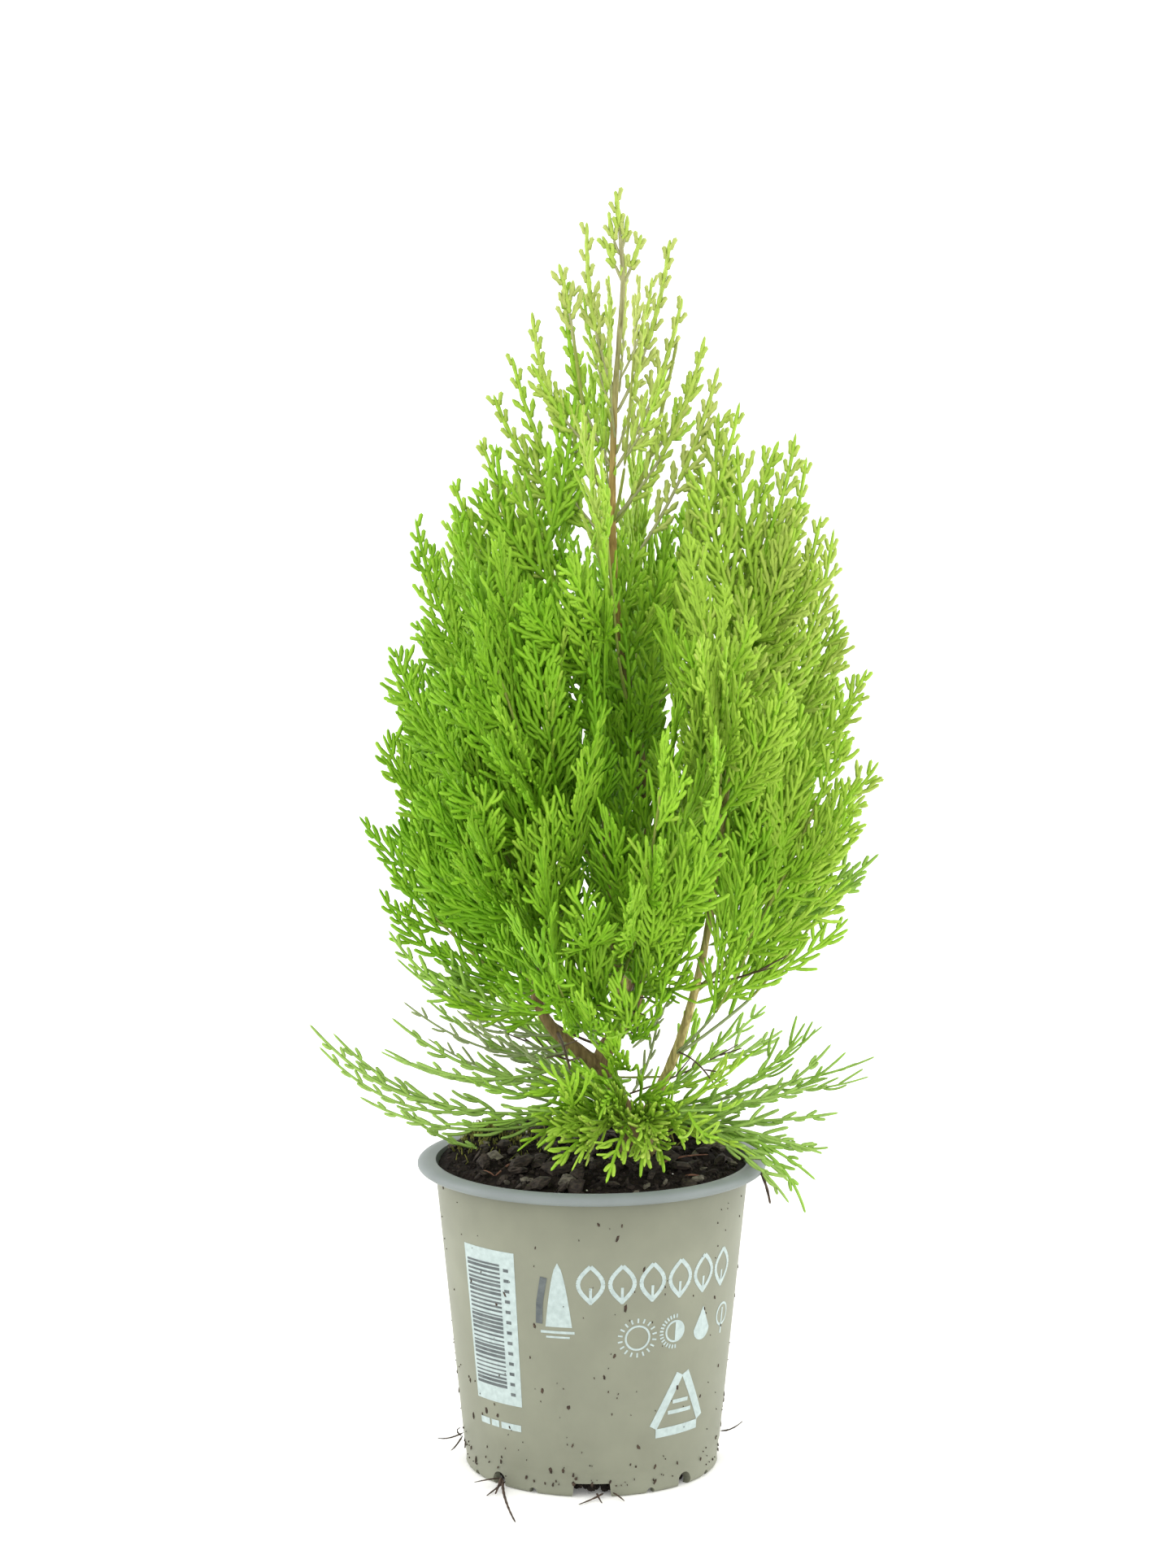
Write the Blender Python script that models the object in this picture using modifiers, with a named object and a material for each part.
"""A young golden oriental arborvitae in a round plastic nursery pot, in metres, +Z up.

The origin is on the ground, on the pot's axis. The camera of the photograph looks along +Y, so -X is the
left and -Y the front. A trunk runs from the soil to the leader's tip and forks low down. Flat sprays of
scale leaves stand round it in tiers. Each mass of foliage is one stem with toothed blades fused on, a blade
for each spray and a tooth for each branchlet.
"""

import math
import random

import bmesh
import bpy
from mathutils import Matrix, Vector
from mathutils.bvhtree import BVHTree

MM = 0.001
SEED = 11
CLEARANCE = 0.3 * MM
SEAT_GAP = 0.42 * MM
SEAT_STEP = 0.05 * MM

# The pot, a turned shell with a rolled lip and a recessed underside.
POT_HEIGHT = 94 * MM
LIP_RADIUS = 52.5 * MM
LIP_HEIGHT = 3.6 * MM
WALL_TOP_RADIUS = 47.1 * MM
WALL_FOOT_RADIUS = 38.4 * MM
WALL = 0.9 * MM
FLOOR_UNDERSIDE = 5.0 * MM
FLOOR_TOP = 6.0 * MM
FOOT_BAND = 3.0 * MM
FOOT_WALL = 2.6 * MM
FOOT_ROUNDING = 1.3 * MM
UNDER_LIP_EASE = 0.6 * MM
POT_SIDES = 40

# The drainage openings round the foot, by their angle from the front.
SLOT_ANGLES = (0, 90, 180, 270)
SLOT_WIDTH = 12.5 * MM
SLOT_HEIGHT = 4.2 * MM
DRAIN_ANGLES = (46, 134, 226, 314)
SLOT_TOP_SHARE = 0.84
DRAIN_RADIUS = 2.6 * MM
DRAIN_HEIGHT = 1.6 * MM
CUTTER_REACH = 8 * MM

# The compost, heaped a little above the lip.
SOIL_TOP = 95 * MM
SOIL_EDGE_DROP = 3.4 * MM
SOIL_FLAT_RADIUS = 30 * MM
SOIL_SHOULDER_RADIUS = 39 * MM

# The crown. Its reach from the leader at a height is a smooth bulge between its foot and its top.
CROWN_FOOT = 112 * MM
CROWN_TOP = 381 * MM
CROWN_AXIS_X = 9 * MM
CROWN_REACH_SCALE = 152 * MM
CROWN_FOOT_POWER = 0.40
CROWN_TOP_POWER = 0.80

# Sprays, as toothed blades: a tooth for each branchlet, with notches that stop short of the spine.
BLADE_THICKNESS = 1.1 * MM
BLADE_ROOT = 1.0 * MM
BLADE_BOW = 0.10
SPINE_HALF_WIDTH = 0.9 * MM
SPRAY_WIDTH_SHARE = 0.44
TOOTH_SPACING = 10.5 * MM
TOOTH_ANGLE = math.radians(36)
TOOTH_ROW = (0.13, 0.79)
NOTCH_SHARE = 0.28
SAMPLE_STEP = 1.6 * MM

# How the sprays stand on their stem. The first ends it, and the others follow down to its foot in turn.
SPRAY_LENGTHS = (15 * MM, 26 * MM, 64 * MM)
SPRAY_SHRINK = 0.92
TIP_SPRAY_AT = 0.94
SIDE_SPRAYS_FROM = 0.88
SIDE_SPRAYS_OVER = 0.66
SPRAY_ANGLE = (24, 38)
SPRAY_ROLLS = (-50, 34, 8, -24, 58)
SKIRT_FLATNESS = 0.80
STEM_RADIUS = 1.15 * MM
STEM_TIP_RADIUS = 0.7 * MM
STEM_SPANS = 6
STEM_BEND_SHARE = 0.55
LEADER_TIP_RADII = (0.6 * MM, 0.6 * MM, 0.5 * MM, 0.25 * MM)

# The limbs: the points in mm that each one's centreline bends through, from its foot, and its radii there.
LIMB_RESOLUTION = 2
TRUNK_ROUTE = (
    (14.4, 4, 95.3), (14.1, 4, 96.9), (13.3, 3.7, 99.6), (11, 3, 104), (3, 1, 120), (6.5, 2, 130),
    (13, 3, 142), (15, 3, 172), (15, 2, 208), (10.5, 1, 236), (7, 0, 264), (6, 0, 292), (7, 0, 325),
    (9, 0, 352), (8, 0, 371),
)
TRUNK_RADII = (6.4, 5.2, 4.5, 4.0, 3.5, 2.9, 2.5, 2.2, 1.9, 1.7, 1.5, 1.25, 1.0, 0.8, 0.65)
LEFT_STEM_ROUTE = ((1, 0, 122), (-7, -3, 129), (-13, -4.5, 135.5), (-16.5, -5, 143))
LEFT_STEM_RADII = (2.8, 2.6, 2.3, 2.0)
LEFT_STEM_HIGH_ROUTE = ((-16.6, -5, 143.8), (-17, -5, 155), (-15, -5, 176), (-12.5, -4, 205), (-11, -4, 232))
LEFT_STEM_HIGH_RADII = (1.9, 1.8, 1.6, 1.4, 1.2)
RIGHT_STEM_ROUTE = (
    (13, 3, 102), (17.5, 0, 109), (24, -5, 124), (29, -9, 140), (34, -12, 163), (38.5, -13, 196),
    (41, -12, 224),
)
RIGHT_STEM_RADII = (2.0, 1.9, 1.75, 1.6, 1.4, 1.25, 1.1)
BACK_STEM_ROUTE = ((11, 3, 138), (12, 9, 144), (10, 17, 156), (7, 21, 176), (6, 22, 205))
BACK_STEM_RADII = (1.9, 1.7, 1.5, 1.3, 1.1)
FRONT_STEM_ROUTE = ((9, 2, 133), (9, -6, 140), (8, -15, 152), (5, -20, 172), (4, -20, 200))
FRONT_STEM_RADII = (1.8, 1.6, 1.4, 1.3, 1.1)

# The tiers of foliage, from the ground up: how many masses, the first one's bearing from +X, the height of
# their roots and tips, their tips' reach as a share of the crown's, how low a stem sags, and its sprays.
TIERS = (
    ("skirt", 6, 176, 103, 120, 1.0, 0.62, 4),
    ("low", 6, 8, 127, 170, 0.90, 0.30, 5),
    ("lower", 6, 160, 148, 214, 0.88, 0.22, 5),
    ("middle", 5, 12, 186, 258, 0.88, 0.16, 5),
    ("upper", 4, 172, 226, 298, 0.78, 0.14, 4),
    ("top", 4, 12, 284, 338, 0.50, 0.12, 3),
)
SKIRT_REACH = 62 * MM
SKIRT_FULL_REACH = 86 * MM
SKIRT_LOW = 84 * MM
SKIRT_HIGH = 138 * MM
# Masses share the room close to the axis, and further out each keeps to its sector.
INNER_REACH = 14 * MM
TIP_ALLOWANCE = 1.05
SECTOR_SHARE = 0.58
SOIL_EDGE = LIP_RADIUS + 12 * MM
# The masses that go on from a side stem's tip: the bearing and height of their tips, and their reach from the
# crown's axis.
CRESTS = (("left", 196, 300, 30), ("right", 350, 290, 46), ("back", 84, 268, 36), ("front", 262, 268, 36))
CREST_SPRAYS = 5
CREST_BEND_SHARE = 0.45
CREST_HALF_SECTOR = 52
SIDES = ("right", "back_right", "back", "back_left", "left", "front_left", "front", "front_right")
HOSTS = ("right", "back", "back", "left", "left", "front", "front", "right")
HOST_BY_SIDE = dict(zip(SIDES, HOSTS))

BARK = (0.30, 0.19, 0.10)
SOIL_COLOUR = (0.035, 0.025, 0.018)
POT_COLOUR = (0.42, 0.38, 0.30)
FOLIAGE = (0.28, 0.52, 0.06)


def clear_scene():
    for obj in list(bpy.data.objects):
        bpy.data.objects.remove(obj, do_unlink=True)


def make_collection(name):
    collection = bpy.data.collections.new(name)
    bpy.context.scene.collection.children.link(collection)
    return collection


def make_material(name, colour, roughness):
    material = bpy.data.materials.new(name)
    material.use_nodes = True
    shader = material.node_tree.nodes["Principled BSDF"]
    shader.inputs["Base Color"].default_value = (*colour, 1)
    shader.inputs["Roughness"].default_value = roughness
    shader.inputs["Metallic"].default_value = 0
    return material


def add_object(name, data, collection, material=None):
    obj = bpy.data.objects.new(name, data)
    collection.objects.link(obj)
    if material:
        data.materials.append(material)
    return obj


def as_mesh(obj):
    """The object's evaluated mesh in world space, its doubled points welded. The object is removed."""
    bpy.context.view_layer.update()
    evaluated = obj.evaluated_get(bpy.context.evaluated_depsgraph_get())
    mesh = bpy.data.meshes.new_from_object(evaluated)
    mesh.transform(obj.matrix_world)
    bm = bmesh.new()
    bm.from_mesh(mesh)
    bmesh.ops.remove_doubles(bm, verts=bm.verts, dist=0.001 * MM)
    bmesh.ops.recalc_face_normals(bm, faces=bm.faces)
    bm.to_mesh(mesh)
    bm.free()
    bpy.data.objects.remove(obj, do_unlink=True)
    return mesh


def largest_shell(mesh):
    """Only the biggest closed surface is kept, so that loose scraps and sealed hollows go."""
    bm = bmesh.new()
    bm.from_mesh(mesh)
    unseen = set(bm.faces)
    shells = []
    while unseen:
        front = [unseen.pop()]
        shell = set(front)
        while front:
            near = {f for e in front.pop().edges for f in e.link_faces} & unseen
            unseen -= near
            shell |= near
            front.extend(near)
        shells.append(shell)
    keep = max(shells, key=len)
    bmesh.ops.delete(bm, geom=[f for f in bm.faces if f not in keep], context="FACES")
    bm.to_mesh(mesh)
    bm.free()
    return mesh


def tree_of(mesh):
    return BVHTree.FromPolygons([v.co for v in mesh.vertices], [p.vertices for p in mesh.polygons])


def turned(name, profile, collection, material):
    """A profile of (radius, height), top to bottom down its outer side, turned round the Z axis."""
    mesh = bpy.data.meshes.new(name)
    mesh.from_pydata([(r, 0, z) for r, z in profile], [(i, i + 1) for i in range(len(profile) - 1)], [])
    obj = add_object(name, mesh, collection, material)
    screw = obj.modifiers.new("turn", "SCREW")
    screw.steps = screw.render_steps = POT_SIDES
    screw.use_merge_vertices = True
    screw.merge_threshold = 0.1 * MM
    screw.use_smooth_shade = True
    return obj


def wall_radius(height):
    """The pot's outer radius at a height between the foot band and the lip."""
    share = (height - FOOT_BAND) / (POT_HEIGHT - LIP_HEIGHT - FOOT_BAND)
    return WALL_FOOT_RADIUS + (WALL_TOP_RADIUS - WALL_FOOT_RADIUS) * share


def arc(centre, radius, first, last, steps):
    """Points on an arc in the profile's plane, angles in degrees from the +radius direction."""
    found = []
    for i in range(steps + 1):
        angle = math.radians(first + (last - first) * i / steps)
        found.append((centre[0] + radius[0] * math.cos(angle), centre[1] + radius[1] * math.sin(angle)))
    return found


def pot_profile():
    under_lip = POT_HEIGHT - LIP_HEIGHT
    inner_top = WALL_TOP_RADIUS - WALL
    roll = (LIP_RADIUS - WALL_TOP_RADIUS) * 0.55
    lip_centre = (LIP_RADIUS - roll, under_lip + LIP_HEIGHT / 2)
    inside = [
        (0, FLOOR_TOP),
        (wall_radius(FLOOR_TOP) - WALL, FLOOR_TOP),
        (inner_top, under_lip),
        (inner_top + WALL, POT_HEIGHT - 0.5 * MM),
    ]
    lip = arc(lip_centre, (roll, LIP_HEIGHT / 2), 95, -70, 5)
    outside = [
        (WALL_TOP_RADIUS, under_lip - UNDER_LIP_EASE),
        (WALL_FOOT_RADIUS, FOOT_BAND),
        (WALL_FOOT_RADIUS - 0.4 * FOOT_ROUNDING, 0.4 * FOOT_BAND),
        (WALL_FOOT_RADIUS - FOOT_ROUNDING, 0),
        (WALL_FOOT_RADIUS - FOOT_WALL, 0),
        (WALL_FOOT_RADIUS - FOOT_WALL - FOOT_ROUNDING, FLOOR_UNDERSIDE),
        (0, FLOOR_UNDERSIDE),
    ]
    return inside + lip + outside


def add_cutter(name, mesh, angle, height, collection):
    """A cutter on the foot's wall at an angle from the front."""
    cutter = add_object(name, mesh, collection)
    turn = math.radians(angle - 90)
    radius = WALL_FOOT_RADIUS - FOOT_WALL / 2
    cutter.location = (radius * math.cos(turn), radius * math.sin(turn), height)
    cutter.rotation_euler = (0, 0, turn)
    cutter.hide_render = True
    cutter.display_type = "WIRE"
    return cutter


def slot_cutter_mesh():
    """A slot's block, narrower at its top, open below the ground line."""
    bm = bmesh.new()
    bmesh.ops.create_cube(bm, size=1)
    for v in bm.verts:
        width = SLOT_WIDTH * (SLOT_TOP_SHARE if v.co.z > 0 else 1.0)
        v.co = Vector((v.co.x * 2 * CUTTER_REACH, v.co.y * width, v.co.z * 2 * SLOT_HEIGHT))
    mesh = bpy.data.meshes.new("slot_cutter")
    bm.to_mesh(mesh)
    bm.free()
    return mesh


def drain_cutter_mesh():
    bm = bmesh.new()
    bmesh.ops.create_cone(
        bm, cap_ends=True, segments=10, radius1=DRAIN_RADIUS, radius2=DRAIN_RADIUS, depth=2 * CUTTER_REACH,
        matrix=Matrix.Rotation(math.pi / 2, 4, "Y"),
    )
    mesh = bpy.data.meshes.new("drain_cutter")
    bm.to_mesh(mesh)
    bm.free()
    return mesh


def make_pot(parts, cutters):
    pot = turned("pot", pot_profile(), parts, make_material("pot_plastic", POT_COLOUR, 0.5))
    slot = slot_cutter_mesh()
    drain = drain_cutter_mesh()
    for angle in SLOT_ANGLES:
        add_cutter(f"slot_{angle}", slot, angle, 0, cutters)
    for angle in DRAIN_ANGLES:
        add_cutter(f"drain_{angle}", drain, angle, DRAIN_HEIGHT, cutters)
    for cutter in cutters.objects:
        cut = pot.modifiers.new(cutter.name, "BOOLEAN")
        cut.operation = "DIFFERENCE"
        cut.solver = "EXACT"
        cut.object = cutter
    return pot


def make_soil(parts):
    edge = SOIL_TOP - SOIL_EDGE_DROP
    gap = WALL + CLEARANCE * 1.3
    profile = [
        (0, SOIL_TOP),
        (SOIL_FLAT_RADIUS, SOIL_TOP),
        (SOIL_SHOULDER_RADIUS, SOIL_TOP - SOIL_EDGE_DROP * 0.4),
        (wall_radius(edge) - gap, edge),
        (wall_radius(FLOOR_TOP) - gap, FLOOR_TOP + CLEARANCE),
        (0, FLOOR_TOP + CLEARANCE),
    ]
    return turned("soil", profile, parts, make_material("soil", SOIL_COLOUR, 0.95))


def tube_curve(name, route, radii, resolution, collection):
    """A capped tube along a route, as a curve whose points carry their radius."""
    data = bpy.data.curves.new(name, "CURVE")
    data.dimensions = "3D"
    data.bevel_depth = 1.0
    data.bevel_resolution = resolution
    data.use_fill_caps = True
    spline = data.splines.new("POLY")
    spline.points.add(len(route) - 1)
    for point, co, radius in zip(spline.points, route, radii):
        point.co = (*co, 1)
        point.radius = radius
    return add_object(name, data, collection)


class Limb:
    """A trunk or stem: its centreline, its mesh and a search tree of that mesh."""

    def __init__(self, name, points, radii, parts, material):
        self.route = [Vector(p) * MM for p in points]
        mesh = as_mesh(tube_curve(name, self.route, [r * MM for r in radii], LIMB_RESOLUTION, parts))
        mesh.name = name
        self.object = add_object(name, mesh, parts, material)
        self.tree = tree_of(mesh)

    def flatten_foot(self):
        """Levels the lowest ring, as a cut flat to the soil."""
        half_way = (self.route[0].z + self.route[1].z) / 2
        for v in self.object.data.vertices:
            if v.co.z < half_way:
                v.co.z = self.route[0].z
        self.tree = tree_of(self.object.data)

    def at_height(self, height):
        """The centreline's point at a height."""
        for a, b in zip(self.route, self.route[1:]):
            if a.z <= height <= b.z:
                return a.lerp(b, (height - a.z) / (b.z - a.z))
        return self.route[0 if height < self.route[0].z else -1]


def seated_start(tree, centre, direction, radius):
    """Where a limb that leaves a host's centreline begins, so that its end clears the host's surface."""
    side = direction.orthogonal().normalized()
    other = direction.cross(side)
    for step in range(400):
        point = centre + direction * step * SEAT_STEP
        rim = [point] + [
            point + (side * math.cos(a) + other * math.sin(a)) * radius
            for a in (k * math.tau / 8 for k in range(8))
        ]
        outside = all((p - tree.find_nearest(p)[0]).dot(tree.find_nearest(p)[1]) > 0 for p in rim)
        if outside and min(tree.find_nearest(p)[3] for p in rim) >= SEAT_GAP:
            return point
    return centre + direction * radius


def make_stem(name, points, radii, host, parts, material):
    """A limb whose first point is moved out along its way until it clears its host."""
    first, second = Vector(points[0]) * MM, Vector(points[1]) * MM
    start = seated_start(host.tree, first, (second - first).normalized(), radii[0] * MM) / MM
    return Limb(name, (tuple(start), *points[1:]), radii, parts, material)


def make_limbs(parts):
    bark = make_material("bark", BARK, 0.85)
    trunk = Limb("trunk", TRUNK_ROUTE, TRUNK_RADII, parts, bark)
    trunk.flatten_foot()
    left = make_stem("left_stem_low", LEFT_STEM_ROUTE, LEFT_STEM_RADII, trunk, parts, bark)
    left_high = make_stem("left_stem_high", LEFT_STEM_HIGH_ROUTE, LEFT_STEM_HIGH_RADII, left, parts, bark)
    right = make_stem("right_stem", RIGHT_STEM_ROUTE, RIGHT_STEM_RADII, trunk, parts, bark)
    back = make_stem("back_stem", BACK_STEM_ROUTE, BACK_STEM_RADII, trunk, parts, bark)
    front = make_stem("front_stem", FRONT_STEM_ROUTE, FRONT_STEM_RADII, trunk, parts, bark)
    return {"trunk": trunk, "left_low": left, "left": left_high, "right": right, "back": back, "front": front}


def crown_reach(height):
    """How far the crown reaches from its axis at a height."""
    share = (height - CROWN_FOOT) / (CROWN_TOP - CROWN_FOOT)
    share = min(max(share, 0.001), 0.999)
    return CROWN_REACH_SCALE * share**CROWN_FOOT_POWER * (1 - share) ** CROWN_TOP_POWER


def side_name(bearing):
    return SIDES[round(bearing % 360 / 45) % 8]


def host_of(limbs, bearing, height):
    """The limb that carries a mass: the stem on its side if it reaches that height, or the trunk."""
    limb = limbs[HOST_BY_SIDE[side_name(bearing)]]
    if limb.route[1].z < height < limb.route[-1].z:
        return limb
    return limbs["trunk"]


class Stem:
    """A mass's own stem: a bent line from its host to its tip, in one upright plane."""

    def __init__(self, start, bearing, tip_height, reach, sag):
        turn = math.radians(bearing)
        self.normal = Vector((-math.sin(turn), math.cos(turn), 0))
        tip = Vector((CROWN_AXIS_X + math.cos(turn) * reach, math.sin(turn) * reach, tip_height))
        bend = start.lerp(tip, STEM_BEND_SHARE)
        bend.z = start.z + (tip_height - start.z) * sag
        self.points = [start, bend, tip]

    @property
    def length(self):
        start, bend, tip = self.points
        return (bend - start).length + (tip - bend).length

    @property
    def first_way(self):
        return (self.at(1 / STEM_SPANS) - self.at(0)).normalized()

    def at(self, share):
        a, b, c = self.points
        return a * (1 - share) ** 2 + b * 2 * share * (1 - share) + c * share**2

    def direction(self, share):
        a, b, c = self.points
        return ((b - a) * (1 - share) + (c - b) * share).normalized()

    def tube(self, collection):
        shares = [i / STEM_SPANS for i in range(STEM_SPANS + 1)]
        route = [self.at(share) for share in shares]
        radii = [STEM_RADIUS + (STEM_TIP_RADIUS - STEM_RADIUS) * share for share in shares]
        return as_mesh(tube_curve("stem", route, radii, 0, collection))


def spray_envelope(share):
    """How wide a spray is at a share of its length: quickly wide, then narrowing to its tip."""
    return min(1.0, 0.55 + 1.6 * share) * (1 - share) ** 0.6


def blade_outline(length, bow):
    """The outline of a flat spray from its root at the origin along +X, a tooth for each branchlet."""
    count = max(2, round(length / TOOTH_SPACING) - 1)
    width = length * SPRAY_WIDTH_SHARE

    def tooth_point(x, part):
        run = width * spray_envelope(x / length) * part
        return x + run * math.cos(TOOTH_ANGLE), SPINE_HALF_WIDTH + run * math.sin(TOOTH_ANGLE)

    sides = {}
    step = length * (TOOTH_ROW[1] - TOOTH_ROW[0]) / count
    for sign, stagger in ((1, 0.1), (-1, 0.6)):
        points = [(-BLADE_ROOT, SPINE_HALF_WIDTH)]
        for k in range(count):
            x = length * TOOTH_ROW[0] + step * (k + stagger)
            points += [tooth_point(x, 1.0), tooth_point(x + step * 0.62, NOTCH_SHARE)]
        sides[sign] = [(x, sign * y) for x, y in points]
    outline = [*sides[-1], (length, 0), *reversed(sides[1])]
    return [(x, y + bow * length * (x / length) ** 2) for x, y in outline]


def blade_frame(origin, along, across):
    """A matrix with X along the spray's spine and Z square to its flat face."""
    along = along.normalized()
    face = along.cross(across).normalized()
    across = face.cross(along)
    return Matrix((
        (along.x, across.x, face.x, origin.x),
        (along.y, across.y, face.y, origin.y),
        (along.z, across.z, face.z, origin.z),
        (0, 0, 0, 1),
    ))


def blade_mesh(outline, frame, collection):
    data = bpy.data.curves.new("blade", "CURVE")
    data.dimensions = "2D"
    data.fill_mode = "BOTH"
    data.extrude = BLADE_THICKNESS / 2
    spline = data.splines.new("POLY")
    spline.points.add(len(outline) - 1)
    for point, (x, y) in zip(spline.points, outline):
        point.co = (x, y, 0, 1)
    spline.use_cyclic_u = True
    obj = add_object("blade", data, collection)
    obj.matrix_world = frame
    return as_mesh(obj)


def edge_samples(outline, frame, step):
    """Points along a blade's outline, no further apart than step, in world space."""
    found = []
    for (ax, ay), (bx, by) in zip(outline, outline[1:] + outline[:1]):
        count = max(1, math.ceil(math.hypot(bx - ax, by - ay) / step))
        for i in range(count):
            share = i / count
            found.append(frame @ Vector((ax + (bx - ax) * share, ay + (by - ay) * share, 0)))
    return found


class Solid:
    """A placed mesh, as others see it: its owner, its search tree and a ball that holds it."""

    def __init__(self, owner, mesh):
        self.owner = owner
        self.tree = tree_of(mesh)
        points = [v.co for v in mesh.vertices]
        self.centre = sum(points, Vector()) / len(points)
        self.radius = max((p - self.centre).length for p in points)

    def keeps_off(self, mesh_solid, points, least):
        """Whether another solid, given with points on it, stays at least that far from this one."""
        if (self.centre - mesh_solid.centre).length > self.radius + mesh_solid.radius + least:
            return True
        if self.tree.overlap(mesh_solid.tree):
            return False
        return all(self.tree.find_nearest(p, least)[0] is None for p in points)


class Mass:
    """One mass of foliage: its space in the crown, its stem, and the blades fused to it."""

    def __init__(self, name, bearing, half_sector, is_skirt):
        self.name = name
        self.bearing = math.radians(bearing)
        self.half_sector = math.radians(half_sector)
        self.is_skirt = is_skirt
        self.stem = None
        self.stem_mesh = None
        self.blades = []

    def holds(self, point):
        """Whether a point is in the mass's own space."""
        x, y = point.x - CROWN_AXIS_X, point.y
        distance = math.hypot(x, y)
        turn = (math.atan2(y, x) - self.bearing + math.pi) % math.tau - math.pi
        if distance > INNER_REACH and abs(turn) > self.half_sector:
            return False
        if self.is_skirt:
            rim = SOIL_TOP + 1.5 * MM if distance < SOIL_EDGE else SKIRT_LOW
            return rim < point.z < SKIRT_HIGH and math.hypot(point.x, point.y) < SKIRT_FULL_REACH
        return distance < crown_reach(point.z) * TIP_ALLOWANCE

    def root_stem(self, host, heights, reach, sag, taken, scratch):
        """Grows the stem near its bearing, where it touches nothing."""
        root_height, tip_height = heights
        for shift in (0, 5, -5, 10, -10, 16, -16, 24, -24):
            for lift in (0, 3 * MM, -3 * MM, 6 * MM, -6 * MM):
                centre = host.at_height(root_height + lift)
                stem = Stem(centre, math.degrees(self.bearing) + shift, tip_height, reach, sag)
                for _ in range(3):
                    stem.points[0] = seated_start(host.tree, centre, stem.first_way, STEM_RADIUS)
                if self.takes(stem, taken, scratch):
                    return

    def crest_stem(self, host, tip_height, reach, taken, scratch):
        """Grows the stem on from its host's tip."""
        along = (host.route[-1] - host.route[-2]).normalized()
        start = host.route[-1] + along * SEAT_GAP
        for lift in (0, 4 * MM, -4 * MM, 8 * MM):
            stem = Stem(start, math.degrees(self.bearing), tip_height + lift, reach, 0)
            stem.points[1] = start + along * (tip_height - start.z) * CREST_BEND_SHARE
            if self.takes(stem, taken, scratch):
                return

    def takes(self, stem, taken, scratch):
        mesh = stem.tube(scratch)
        solid = Solid(self.name, mesh)
        points = [v.co for v in mesh.vertices] + [stem.at(i / 30) for i in range(31)]
        if not all(other.keeps_off(solid, points, CLEARANCE) for other in taken):
            return False
        self.stem, self.stem_mesh = stem, mesh
        taken.append(solid)
        return True

    def spray_pose(self, index, count, rng):
        """Where a spray leaves the stem and how it lies: its start, spine, flat's edge, length and bow."""
        ends_stem = index == 0
        share = TIP_SPRAY_AT if ends_stem else SIDE_SPRAYS_FROM - SIDE_SPRAYS_OVER * index / count
        along = self.stem.direction(share)
        upward = self.stem.normal.cross(along)
        if upward.z < 0:
            upward = -upward
        if self.is_skirt:
            upward = upward.lerp(self.stem.normal, SKIRT_FLATNESS).normalized()
        side = 1 if index % 2 == 0 else -1
        roll = 0 if ends_stem else math.radians(SPRAY_ROLLS[index % len(SPRAY_ROLLS)] + rng.uniform(-9, 9))
        across = Matrix.Rotation(roll, 3, along) @ upward
        fan = 0 if ends_stem else side * math.radians(rng.uniform(*SPRAY_ANGLE))
        spine = along * math.cos(fan) + across * math.sin(fan)
        length = self.stem.length * (0.62 if ends_stem else 0.70 - 0.22 * share) * rng.uniform(0.92, 1.12)
        length = min(max(length, SPRAY_LENGTHS[1]), SPRAY_LENGTHS[2])
        return self.stem.at(share), spine, across, length, -side * BLADE_BOW

    def grow(self, index, count, rng, taken, scratch):
        """Adds the longest spray that keeps to the mass's space and clear of the others."""
        origin, spine, across, length, bow = self.spray_pose(index, count, rng)
        least = CLEARANCE + BLADE_THICKNESS / 2 + 0.15 * MM
        while length >= SPRAY_LENGTHS[0]:
            outline = blade_outline(length, bow)
            frame = blade_frame(origin, spine, across)
            points = edge_samples(outline, frame, SAMPLE_STEP)
            if all(self.holds(p) for p in points):
                mesh = blade_mesh(outline, frame, scratch)
                solid = Solid(self.name, mesh)
                others = (other for other in taken if other.owner != self.name)
                if all(other.keeps_off(solid, points, least) for other in others):
                    self.blades.append(mesh)
                    taken.append(solid)
                    return
            length *= SPRAY_SHRINK


def is_closed(mesh):
    bm = bmesh.new()
    bm.from_mesh(mesh)
    closed = all(len(edge.link_faces) == 2 for edge in bm.edges) and len(bm.faces) > 0
    bm.free()
    return closed


def fused(stem_mesh, blades, name, parts, material):
    """One solid from a stem and its blades, by one Boolean union on their collection."""
    holder = bpy.data.collections.new("blades")
    bpy.context.scene.collection.children.link(holder)
    for mesh in blades:
        add_object("blade", mesh, holder)
    for solver in ("EXACT", "MANIFOLD"):
        obj = add_object(name, stem_mesh.copy(), parts)
        union = obj.modifiers.new("union", "BOOLEAN")
        union.operation = "UNION"
        union.operand_type = "COLLECTION"
        union.collection = holder
        union.solver = solver
        mesh = largest_shell(as_mesh(obj))
        if is_closed(mesh):
            break
    for blade in list(holder.objects):
        bpy.data.objects.remove(blade, do_unlink=True)
    bpy.data.collections.remove(holder)
    mesh.name = name
    mesh.materials.clear()
    return add_object(name, mesh, parts, material)


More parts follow.
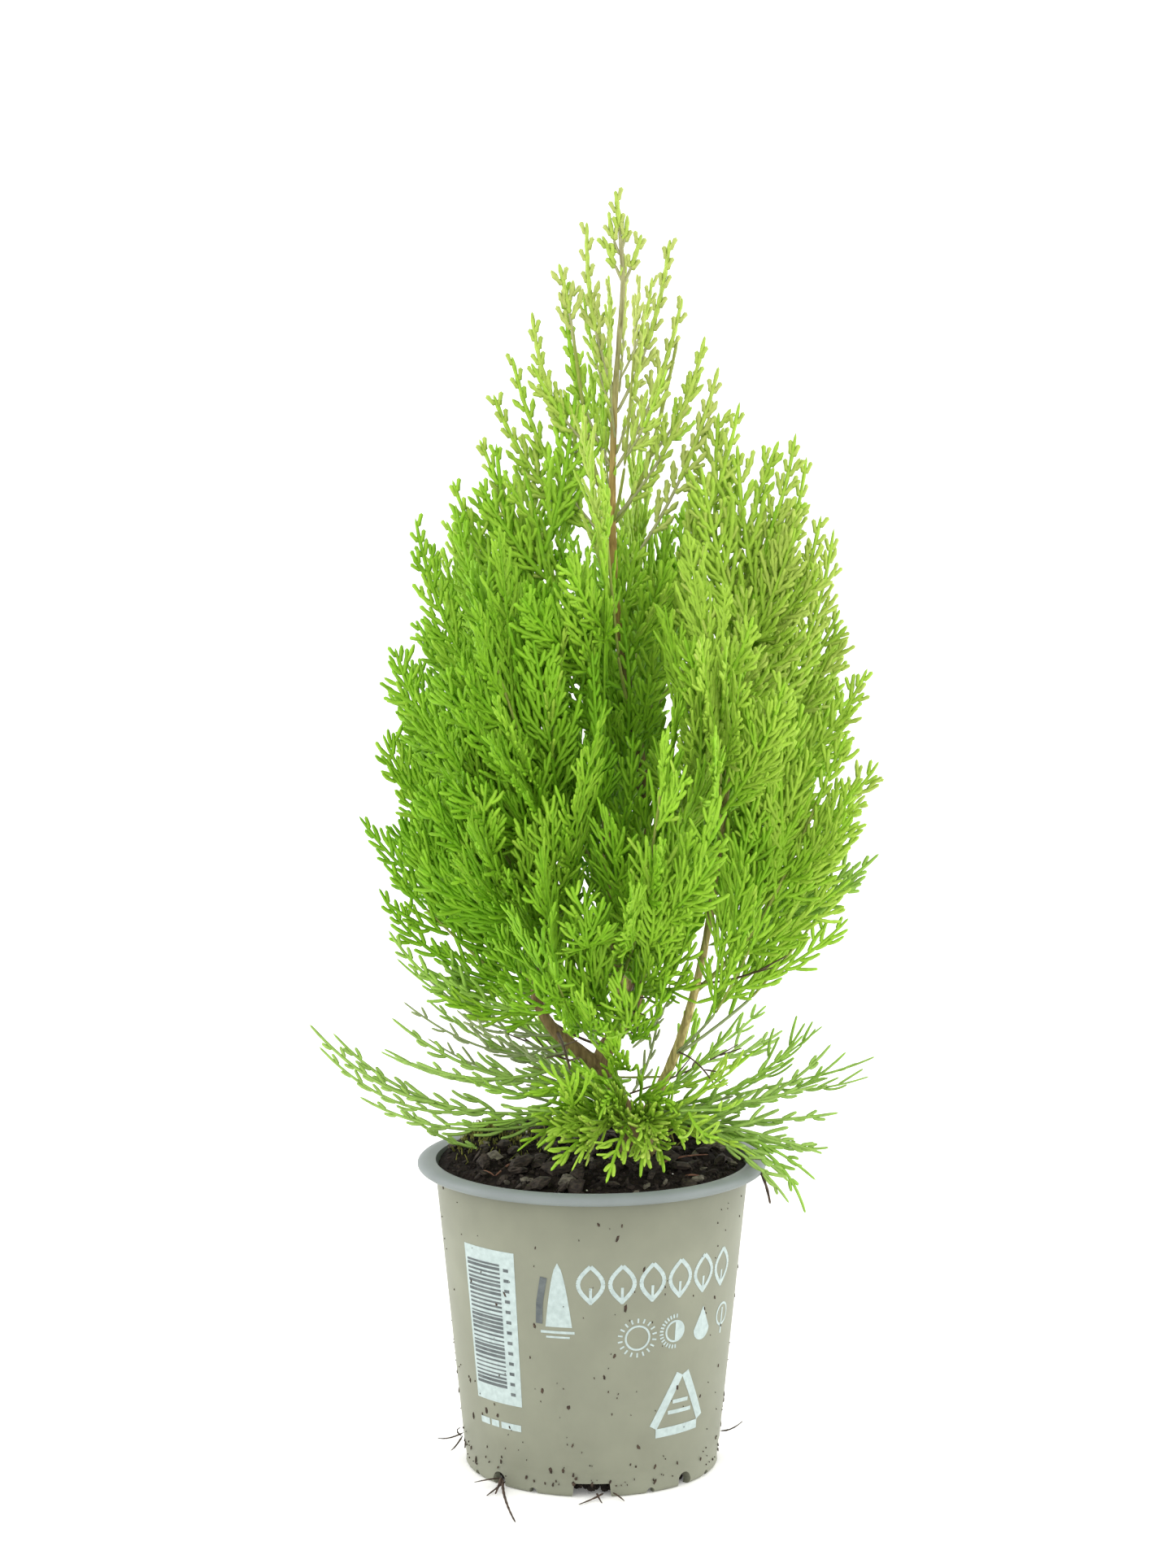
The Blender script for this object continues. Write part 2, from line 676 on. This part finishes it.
def make_leader_tip(trunk, parts, scratch, material, taken):
    """The shoot that goes on from the trunk's tip: a short stem with two small crossed blades."""
    along = (trunk.route[-1] - trunk.route[-2]).normalized()
    start = trunk.route[-1] + along * CLEARANCE
    length = CROWN_TOP - start.z
    route = [start + along * length * i / 3 for i in range(4)]
    stem_mesh = as_mesh(tube_curve("leader_tip", route, LEADER_TIP_RADII, 0, scratch))
    blades = []
    for across in (Vector((1, 0.2, 0)), Vector((-0.2, 1, 0))):
        frame = blade_frame(start + along * 1.2 * BLADE_ROOT, along, across)
        blades.append(blade_mesh(blade_outline(length * 0.9, 0), frame, scratch))
    shoot = fused(stem_mesh, blades, "leader_tip", parts, material)
    taken.append(Solid("leader_tip", shoot.data))


def make_foliage(limbs, taken, parts, scratch):
    rng = random.Random(SEED)
    material = make_material("foliage", FOLIAGE, 0.55)
    make_leader_tip(limbs["trunk"], parts, scratch, material, taken)
    growing = []
    for name, bearing, tip_height, reach in CRESTS:
        mass = Mass(f"crest_{name}", bearing, CREST_HALF_SECTOR, False)
        mass.crest_stem(limbs[name], tip_height * MM, reach * MM, taken, scratch)
        growing.append((mass, CREST_SPRAYS))
    for tier, count, first, root, tip, reach_share, sag, sprays in TIERS:
        is_skirt = tier == "skirt"
        for i in range(count):
            bearing = first + i * 360 / count
            lift = rng.uniform(-3, 3)
            heights = (root + lift) * MM, (tip + (0 if is_skirt else 2 * lift)) * MM
            reach = SKIRT_REACH if is_skirt else crown_reach(heights[1]) * reach_share
            mass = Mass(f"{tier}_{side_name(bearing)}", bearing, 360 / count * SECTOR_SHARE, is_skirt)
            mass.root_stem(host_of(limbs, bearing, heights[0]), heights, reach, sag, taken, scratch)
            growing.append((mass, sprays))
    growing = [(mass, sprays) for mass, sprays in growing if mass.stem]
    for index in range(max(sprays for _, sprays in growing)):
        for mass, sprays in growing:
            if index < sprays:
                mass.grow(index, sprays, rng, taken, scratch)
    for mass, _ in growing:
        fused(mass.stem_mesh, mass.blades, mass.name, parts, material)


def main():
    clear_scene()
    parts = make_collection("potted_arborvitae")
    cutters = make_collection("cutters")
    scratch = make_collection("scratch")
    pot = make_pot(parts, cutters)
    soil = make_soil(parts)
    bpy.context.view_layer.update()
    graph = bpy.context.evaluated_depsgraph_get()
    taken = [Solid(obj.name, obj.evaluated_get(graph).data) for obj in (pot, soil)]
    limbs = make_limbs(parts)
    taken += [Solid("limb", limb.object.data) for limb in limbs.values()]
    make_foliage(limbs, taken, parts, scratch)


main()
